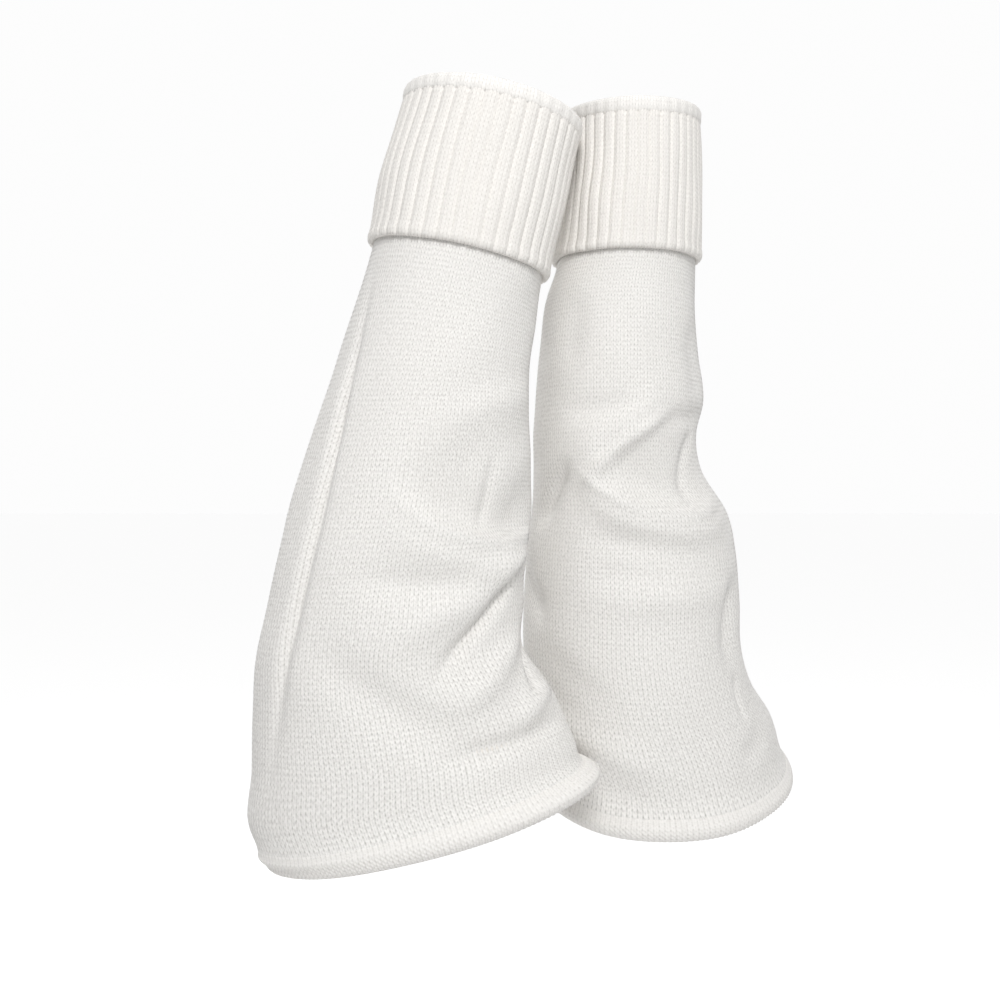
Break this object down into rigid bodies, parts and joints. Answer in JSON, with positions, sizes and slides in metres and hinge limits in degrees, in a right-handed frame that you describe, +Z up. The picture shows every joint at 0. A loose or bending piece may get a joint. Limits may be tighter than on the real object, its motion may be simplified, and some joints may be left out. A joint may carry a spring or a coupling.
{
  "type": "pair of flared leg warmers",
  "caption": "Pair of knitted leg warmers, worn and filled out: turned-down ribbed cuffs, a tube that flares to the hem and a rolled hem edge, open at both ends.",
  "frame": {"origin": "between the two cuffs at calf height, where the wearer's legs hold the pair up", "axes": "+Z up along the wearer's legs, +X across from the left warmer of the picture to the right one, -Y towards the viewer"},
  "size_m": [0.3425, 0.2397, 0.4698],
  "materials": {
    "body_knit": "warm off-white plain stockinette, matt and slightly fuzzy",
    "ribbed_knit": "warm off-white two-by-one rib, matt and slightly fuzzy",
    "edge_knit": "warm off-white smooth turned edge and curled hem, matt"
  },
  "bodies": {
    "root": {"left_body": "body_knit", "left_cuff": "ribbed_knit", "left_top_edge": "edge_knit", "left_hem_roll": "edge_knit", "right_body": "body_knit", "right_cuff": "ribbed_knit", "right_top_edge": "edge_knit", "right_hem_roll": "edge_knit"}
  },
  "joints": []
}
